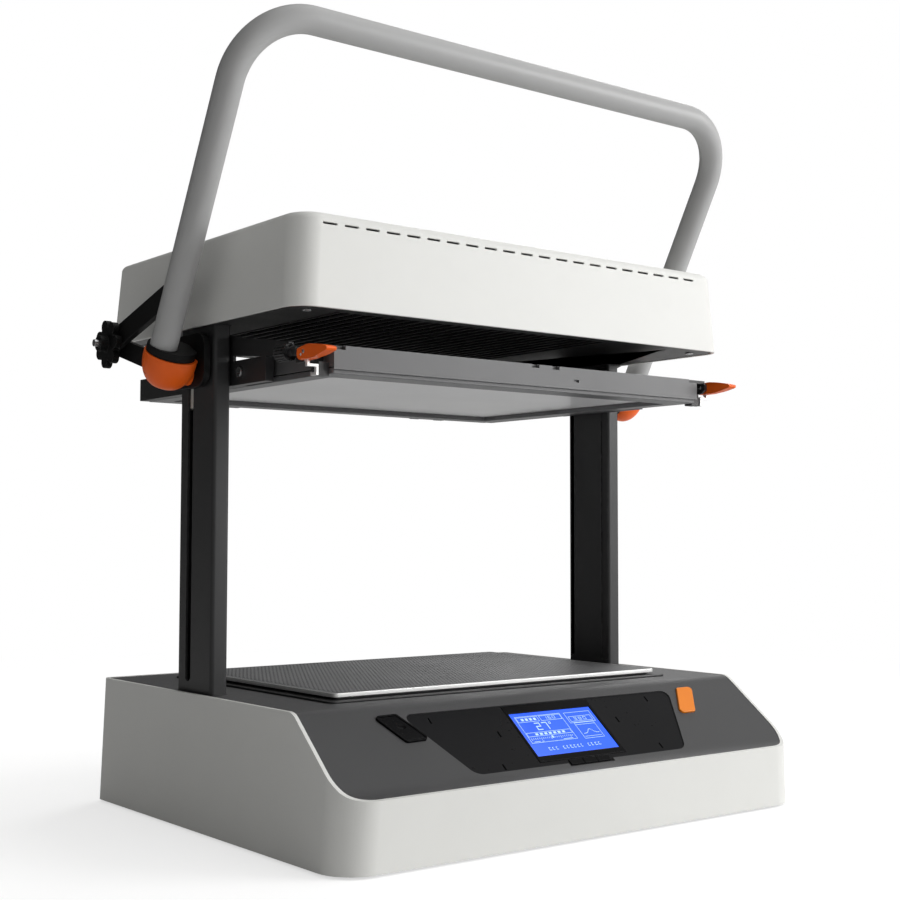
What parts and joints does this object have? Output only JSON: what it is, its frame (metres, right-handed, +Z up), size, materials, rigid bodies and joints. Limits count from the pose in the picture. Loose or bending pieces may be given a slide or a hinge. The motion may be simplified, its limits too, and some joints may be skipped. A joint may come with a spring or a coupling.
{
  "type": "vacuum forming machine",
  "caption": "Desktop vacuum forming machine with a perforated platen, slotted side columns, an overhead heater and a clamp frame moved by a swinging U handle.",
  "frame": {"origin": "centre of the base footprint on the table", "axes": "+X to the right seen from the front, +Y towards the back, +Z up"},
  "size_m": [0.5528, 0.3864, 0.6228],
  "materials": {
    "white_shell": "satin moulded plastic",
    "console_grey": "fine-grained moulded plastic",
    "black_gloss": "polished",
    "black_plastic": "fine-grained",
    "display": "backlit panel under a clear window",
    "orange_plastic": "satin moulded",
    "black_metal": "satin powder coat",
    "dark_metal": "heat-dulled coating",
    "frame_metal": "satin powder coat",
    "platen_metal": "bead-blasted, finely perforated",
    "bare_aluminium": "machined",
    "tube_metal": "satin grey coating",
    "steel": "zinc plated",
    "ceramic": null,
    "guide_plastic": "machined low-friction plastic",
    "sheet_plastic": "clear-to-milky forming sheet",
    "board": "solder-masked board",
    "rubber": "moulded"
  },
  "bodies": {
    "machine": {"base_shell": "white_shell", "bottom_plate": "black_metal", "rubber_feet": "rubber", "console_panel": "console_grey", "console_insert": "black_gloss", "display_bezel": "black_plastic", "display_screen": "display", "console_board": "board", "vacuum_key_bezel": "black_plastic", "platen_tray": "black_metal", "platen": "platen_metal", "platen_rim": "bare_aluminium", "air_duct": "black_plastic", "vacuum_motor": "black_plastic", "control_board": "board", "power_supply": "steel", "power_inlet": "black_plastic", "column_left": "black_metal", "column_right": "black_metal", "column_brackets": "steel", "column_bumpers": "rubber", "heater_shell": "white_shell", "heater_plate": "dark_metal", "heater_guard": "dark_metal", "heating_elements": "ceramic", "heater_reflector": "steel", "heater_brackets": "steel", "heater_screws": "steel"},
    "carriage": {"guide_blocks": "guide_plastic", "carriage_plates": "black_metal", "pivot_pins": "steel", "carriage_arms": "black_metal", "carriage_bolts": "steel", "lower_frame": "frame_metal", "plastic_sheet": "sheet_plastic", "upper_frame": "frame_metal", "frame_hinges": "black_metal", "hinge_pins": "steel", "latch_catches": "black_metal", "latch_brackets": "black_metal", "latch_spacers": "black_metal", "latch_pins": "steel"},
    "handle": {"handle_tube": "tube_metal", "handle_covers": "orange_plastic", "handle_collars": "black_plastic", "brace_upper": "black_metal", "brace_lower": "black_metal", "brace_bolts": "steel"},
    "lever_left": {"latch_lever_left": "orange_plastic"},
    "lever_right": {"latch_lever_right": "orange_plastic"},
    "hook_left": {"latch_hook_left": "steel"},
    "hook_right": {"latch_hook_right": "steel"},
    "knob_left": {"star_knob_left": "black_plastic"},
    "knob_right": {"star_knob_right": "black_plastic"},
    "power_button": {"power_key": "orange_plastic"},
    "vacuum_button": {"vacuum_key": "black_gloss"},
    "menu_button_left": {"menu_key_left": "black_plastic"},
    "menu_button_middle": {"menu_key_middle": "black_plastic"},
    "menu_button_right": {"menu_key_right": "black_plastic"},
    "fan": {"impeller": "bare_aluminium"}
  },
  "joints": [
    {"name": "carriage_slide", "type": "slide", "parent": "machine", "child": "carriage", "axis": [0, 0, 1], "range_m": [-0.24, 0]},
    {"name": "handle_swing", "type": "hinge", "parent": "carriage", "child": "handle", "pos_m": [0, 0.04065, 0.3576], "axis": [1, 0, 0], "range_deg": [0, 60]},
    {"name": "lever_left_swing", "type": "hinge", "parent": "carriage", "child": "lever_left", "pos_m": [-0.2127, -0.108, 0.362], "axis": [-1, 0, 0], "range_deg": [0, 55]},
    {"name": "hook_left_swing", "type": "hinge", "parent": "lever_left", "child": "hook_left", "pos_m": [-0.2138, -0.1046, 0.3599], "axis": [-1, 0, 0], "range_deg": [-70.5, 0]},
    {"name": "lever_right_swing", "type": "hinge", "parent": "carriage", "child": "lever_right", "pos_m": [0.2127, -0.108, 0.362], "axis": [-1, 0, 0], "range_deg": [0, 55]},
    {"name": "hook_right_swing", "type": "hinge", "parent": "lever_right", "child": "hook_right", "pos_m": [0.2138, -0.1046, 0.3599], "axis": [-1, 0, 0], "range_deg": [-70.5, 0]},
    {"name": "knob_left_turn", "type": "hinge", "parent": "handle", "child": "knob_left", "pos_m": [-0.2655, 0.118, 0.3864], "axis": [1, 0, 0], "continuous": true},
    {"name": "knob_right_turn", "type": "hinge", "parent": "handle", "child": "knob_right", "pos_m": [0.2655, 0.118, 0.3864], "axis": [1, 0, 0], "continuous": true},
    {"name": "power_press", "type": "slide", "parent": "machine", "child": "power_button", "axis": [0, 0.6225, -0.7826], "range_m": [0, 0.0015], "stiffness_N_per_m": 800, "springref_m": -0.0006},
    {"name": "vacuum_press", "type": "slide", "parent": "machine", "child": "vacuum_button", "axis": [0, 0.6225, -0.7826], "range_m": [0, 0.0015], "stiffness_N_per_m": 800, "springref_m": -0.0006},
    {"name": "menu_left_press", "type": "slide", "parent": "machine", "child": "menu_button_left", "axis": [0, 0.6225, -0.7826], "range_m": [0, 0.0008], "stiffness_N_per_m": 600, "springref_m": -0.0005},
    {"name": "menu_middle_press", "type": "slide", "parent": "machine", "child": "menu_button_middle", "axis": [0, 0.6225, -0.7826], "range_m": [0, 0.0008], "stiffness_N_per_m": 600, "springref_m": -0.0005},
    {"name": "menu_right_press", "type": "slide", "parent": "machine", "child": "menu_button_right", "axis": [0, 0.6225, -0.7826], "range_m": [0, 0.0008], "stiffness_N_per_m": 600, "springref_m": -0.0005},
    {"name": "fan_spin", "type": "hinge", "parent": "machine", "child": "fan", "pos_m": [0, 0.033, 0.045], "axis": [0, 0, 1], "continuous": true}
  ],
  "couplings": [
    {"joint": "handle_swing", "follows": "carriage_slide", "rad_per_m": -4.3633},
    {"joint": "hook_left_swing", "follows": "lever_left_swing", "ratio": -1.2727},
    {"joint": "hook_right_swing", "follows": "lever_right_swing", "ratio": -1.2727}
  ]
}
